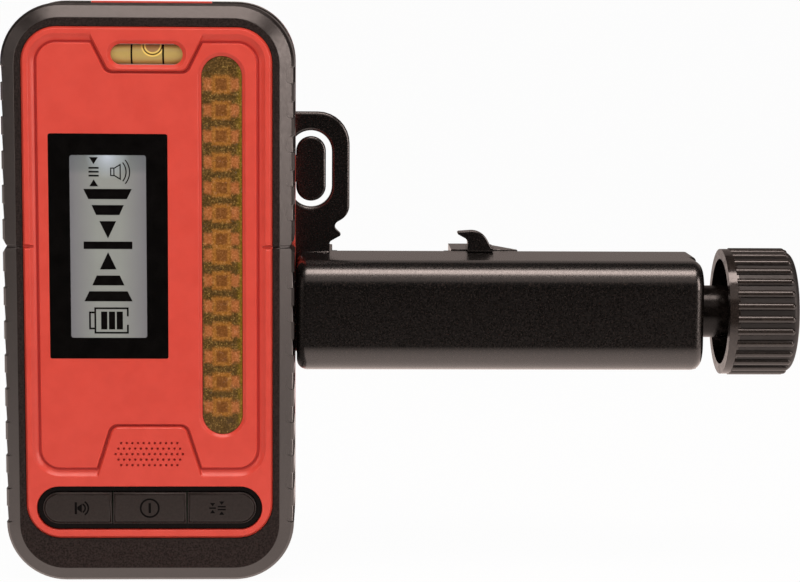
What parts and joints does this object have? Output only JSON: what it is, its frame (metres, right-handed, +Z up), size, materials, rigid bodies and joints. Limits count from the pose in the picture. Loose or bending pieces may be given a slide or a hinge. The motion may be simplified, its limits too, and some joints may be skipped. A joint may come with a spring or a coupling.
{
  "type": "laser receiver with staff clamp",
  "caption": "Hand-held laser receiver with a rubber bumper, display, sensor strip and keys, on a screw clamp whose jaws grip a levelling staff.",
  "frame": {"origin": "centre of the receiver's bottom face", "axes": "+X to the viewer's right towards the clamp's knob, +Y away from the viewer towards the staff, +Z up the receiver"},
  "size_m": [0.2293, 0.06, 0.1662],
  "materials": {
    "red_plastic": "fine moulded grain, satin",
    "bumper_rubber": "soft matt over-moulded rubber",
    "steel": "zinc plated, satin",
    "display_glass": "black printed clear pane, gloss",
    "display_grey": "grey green liquid crystal",
    "sensor_amber": "tinted translucent window, gloss",
    "board_green": "solder mask, satin",
    "diode_dark": "dark epoxy, gloss",
    "vial_clear": "clear acrylic",
    "vial_fluid": "yellow fluid",
    "vial_end": "yellow acrylic",
    "white_plastic": "plain moulded",
    "dark_plastic": "plain moulded",
    "gloss_black": "gloss moulded",
    "key_plastic": "satin moulded",
    "cell_wrap": "printed sleeve",
    "contact_metal": "nickel plated",
    "clamp_black": "fine grained glass filled, semi gloss",
    "knob_black": "moulded, gloss",
    "brass": "turned",
    "pad_rubber": "ribbed rubber, matt"
  },
  "bodies": {
    "receiver": {"front_shell": "red_plastic", "rear_shell": "red_plastic", "front_bumper": "bumper_rubber", "corner_guards": "bumper_rubber", "shell_gasket": "bumper_rubber", "shell_screws": "steel", "display_module": "display_grey", "sensor_board": "board_green", "photodiodes": "diode_dark", "main_board": "board_green", "vial_tube": "vial_clear", "vial_liquid": "vial_fluid", "vial_plugs": "vial_end", "vial_clip": "white_plastic", "speaker": "dark_plastic", "key_switches": "dark_plastic", "battery_contacts": "contact_metal", "display_window": "display_glass", "sensor_window": "sensor_amber", "key_frame": "gloss_black", "door_pin": "steel", "battery_cells": "cell_wrap", "clamp_body": "clamp_black", "end_plug": "clamp_black", "end_plug_screws": "steel", "screw_bush": "brass", "fixed_jaw_pad": "pad_rubber", "lever_pin": "steel", "lever_spring": "steel"},
    "sound_key": {"sound_key": "key_plastic"},
    "power_key": {"power_key": "key_plastic"},
    "accuracy_key": {"accuracy_key": "key_plastic"},
    "knob": {"clamp_knob": "knob_black", "lead_screw": "steel", "screw_clip": "steel", "knob_pin": "steel"},
    "jaw": {"jaw_carriage": "dark_plastic", "jaw_nut": "brass", "moving_jaw": "clamp_black", "jaw_bolts": "steel", "moving_jaw_pad": "pad_rubber"},
    "lever": {"release_lever": "clamp_black"},
    "door": {"battery_door": "red_plastic", "door_seal": "bumper_rubber"}
  },
  "joints": [
    {"name": "sound_key_press", "type": "slide", "parent": "receiver", "child": "sound_key", "axis": [0, 1, 0], "range_m": [0, 0.0008], "stiffness_N_per_m": 1500, "springref_m": -0.0003},
    {"name": "power_key_press", "type": "slide", "parent": "receiver", "child": "power_key", "axis": [0, 1, 0], "range_m": [0, 0.0008], "stiffness_N_per_m": 1500, "springref_m": -0.0003},
    {"name": "accuracy_key_press", "type": "slide", "parent": "receiver", "child": "accuracy_key", "axis": [0, 1, 0], "range_m": [0, 0.0008], "stiffness_N_per_m": 1500, "springref_m": -0.0003},
    {"name": "knob_turn", "type": "hinge", "parent": "receiver", "child": "knob", "pos_m": [0.17, 0.008, 0.07585], "axis": [1, 0, 0], "range_deg": [-1680, 2160]},
    {"name": "jaw_slide", "type": "slide", "parent": "receiver", "child": "jaw", "axis": [1, 0, 0], "range_m": [-0.028, 0.036]},
    {"name": "lever_press", "type": "hinge", "parent": "receiver", "child": "lever", "pos_m": [0.03, 0.0215, 0.1169], "axis": [0, 0, -1], "range_deg": [0, 8], "stiffness_Nm_per_rad": 0.3, "springref_deg": -5.73},
    {"name": "door_open", "type": "hinge", "parent": "receiver", "child": "door", "pos_m": [0, 0.01545, 0.01675], "axis": [-1, 0, 0], "range_deg": [0, 88]}
  ],
  "couplings": [
    {"joint": "jaw_slide", "follows": "knob_turn", "m_per_rad": 0.00095493}
  ]
}
